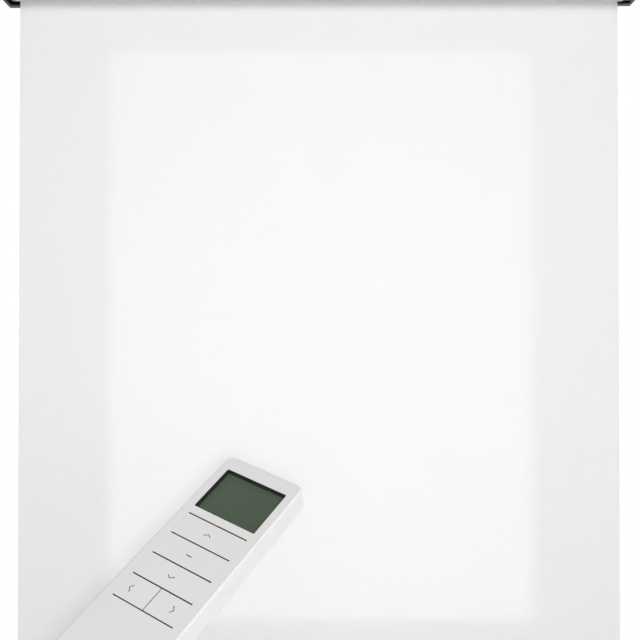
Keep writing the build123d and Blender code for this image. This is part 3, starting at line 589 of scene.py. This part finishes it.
def stroke_symbol(name, node, body, turn_deg=0.0, shift=(0, 0), steps=CHEVRON):
    """Printed line on a key: a square nib drawn on through the steps, as thick as the ink."""
    rest_objects()
    span = sum(step[0] for step in steps)
    top = max(step[1] for step in steps)
    start = (-span / 2, -top / 2)
    bpy.ops.mesh.primitive_plane_add(size=STROKE, location=(start[0] - STROKE / 2, start[1], 0))
    piece = bpy.context.object
    piece.name = name
    bpy.ops.object.transform_apply(location=True)
    for step in steps:
        bpy.ops.object.mode_set(mode="OBJECT")
        tip = max(v.co.x for v in piece.data.vertices) - STROKE / 10
        for edge in piece.data.edges:
            edge.select = all(piece.data.vertices[i].co.x > tip for i in edge.vertices)
        for vertex in piece.data.vertices:
            vertex.select = vertex.co.x > tip
        for face in piece.data.polygons:
            face.select = False
        bpy.ops.object.mode_set(mode="EDIT")
        bpy.ops.mesh.select_mode(type="EDGE")
        bpy.ops.mesh.extrude_region_move(TRANSFORM_OT_translate={"value": (step[0], step[1], 0)})
    bpy.ops.object.mode_set(mode="OBJECT")
    apply_modifier(piece, "SOLIDIFY", thickness=INK_THICK, offset=1.0)
    piece.data.transform(Matrix.Rotation(radians(turn_deg), 4, "Z"))
    piece.data.transform(key_face(node, shift))
    settle(piece, body, INK)


def dress_keys():
    """One chevron turned four ways, and a dash."""
    stroke_symbol("symbol_up", "key_up", "up_key", 0, UP_SHIFT)
    stroke_symbol("symbol_stop", "key_stop", "stop_key", 0, STOP_SHIFT, ((DASH_LONG, 0.0),))
    stroke_symbol("symbol_down", "key_down", "down_key", 180, DOWN_SHIFT)
    stroke_symbol("symbol_left", "key_left", "left_key", 90, LEFT_SHIFT)
    stroke_symbol("symbol_right", "key_right", "right_key", -90, RIGHT_SHIFT)


def softbox(name, at, towards, size, power, spread_deg=180):
    """Rectangular light that the camera doesn't see."""
    data = bpy.data.lights.new(name, "AREA")
    data.shape = "RECTANGLE"
    data.size, data.size_y = size
    data.energy = power
    data.spread = radians(spread_deg)
    lamp = bpy.data.objects.new(name, data)
    bpy.context.scene.collection.objects.link(lamp)
    lamp.location = at
    lamp.rotation_euler = (Vector(towards) - Vector(at)).to_track_quat("-Z", "Y").to_euler()
    lamp.visible_camera = False
    return lamp


def lay_floor():
    """Pale floor under the blind."""
    rest_objects()
    floor_z = cad_box[0].z - FLOOR_BELOW
    bpy.ops.mesh.primitive_plane_add(size=1.0, location=(0, FLOOR_MIDDLE_Y, floor_z))
    floor = bpy.context.object
    floor.name = "floor"
    floor.scale = (*FLOOR_SIZE, 1)
    paint = finish_material("painted_floor", ("#ebebeb", "#efefef"), (0.6, 0.7), 300, 5.0, 0.05)
    give_material(floor, paint)


def white_room():
    """Light from all round. The camera sees white paper behind the blind and a grey wall beside it."""
    world = bpy.data.worlds.new("white_room")
    bpy.context.scene.world = world
    world.use_nodes = True
    sky = world.node_tree
    sky.nodes.clear()
    direction = add(sky, "SeparateXYZ", {"Vector": add(sky, "TexCoord").outputs["Object"]})
    rise = {0: direction.outputs["Z"], 1: ROOM_LIGHT_RISE, 2: ROOM_LIGHT}
    strength = add(sky, "Math", rise, operation="MULTIPLY_ADD").outputs[0]
    room = add(sky, "Background", {"Color": srgb("#ffffff"), "Strength": strength})
    edge = {
        "Value": direction.outputs["Y"], "From Min": PAPER_END, "From Max": PAPER_FULL, "To Min": WALL_TONE,
    }
    tone = add(sky, "MapRange", edge, interpolation_type="SMOOTHSTEP").outputs["Result"]
    paper = add(sky, "Background", {"Color": srgb("#ffffff"), "Strength": tone})
    seen = add(sky, "LightPath").outputs["Is Camera Ray"]
    mix = add(sky, "MixShader", {0: seen, 1: room.outputs[0], 2: paper.outputs[0]})
    sky.links.new(mix.outputs[0], add(sky, "OutputWorld").inputs["Surface"])


def light_back_box():
    """Strips of light behind the cloth, each a little stronger than the one above it."""
    box_x, box_z = BACK_BOX_MIDDLE
    size = (BACK_BOX_SIZE[0], BACK_BOX_SIZE[1] / BACK_BOX_STRIPS)
    for number in range(BACK_BOX_STRIPS):
        down = (number + 0.5) / BACK_BOX_STRIPS
        at = (box_x, BACK_BOX_Y, box_z + BACK_BOX_SIZE[1] * (0.5 - down))
        power = (BACK_BOX_W + 2 * down * BACK_BOX_LOW_W) / BACK_BOX_STRIPS
        softbox(f"back_box_{number}", at, (at[0], -1.0, at[2]), size, power, BACK_BOX_SPREAD_DEG)


def light_at_lens():
    """Small round light beside the lens, for the hanging cloth alone."""
    right, up = LENS_LIGHT_SHIFT
    at = (CAMERA_AT[0] + right, CAMERA_AT[1], CAMERA_AT[2] + up)
    size = (LENS_LIGHT_SIZE, LENS_LIGHT_SIZE)
    lamp = softbox("lens_light", at, (at[0], 0.0, at[2]), size, LENS_LIGHT_W)
    lamp.data.shape = "ELLIPSE"
    lit = bpy.data.collections.new("lit_by_lens_light")
    lit.objects.link(bpy.data.objects["cloth_hanging"])
    lamp.light_linking.receiver_collection = lit


def place_camera():
    """Camera at the photo's place."""
    lens = bpy.data.cameras.new("camera")
    lens.lens = CAMERA_LENS_MM
    lens.sensor_width = CAMERA_SENSOR_MM
    camera = bpy.data.objects.new("camera", lens)
    bpy.context.scene.collection.objects.link(camera)
    camera.location = CAMERA_AT
    camera.rotation_euler = (radians(90 + CAMERA_PITCH_DEG), 0, 0)
    bpy.context.scene.camera = camera


def studio():
    """Floor, surroundings, lights and camera."""
    lay_floor()
    white_room()
    light_back_box()
    softbox(
        "side_box", SIDE_LIGHT_AT, SIDE_LIGHT_TOWARDS, SIDE_LIGHT_SIZE, SIDE_LIGHT_W, SIDE_LIGHT_SPREAD_DEG
    )
    softbox("front_box", FRONT_LIGHT_AT, FRONT_LIGHT_TOWARDS, FRONT_LIGHT_SIZE, FRONT_LIGHT_W)
    light_at_lens()
    bpy.context.scene.view_settings.view_transform = "Standard"
    place_camera()


finish_nodes()
dress_cloth()
dress_keys()
studio()
rest_objects()
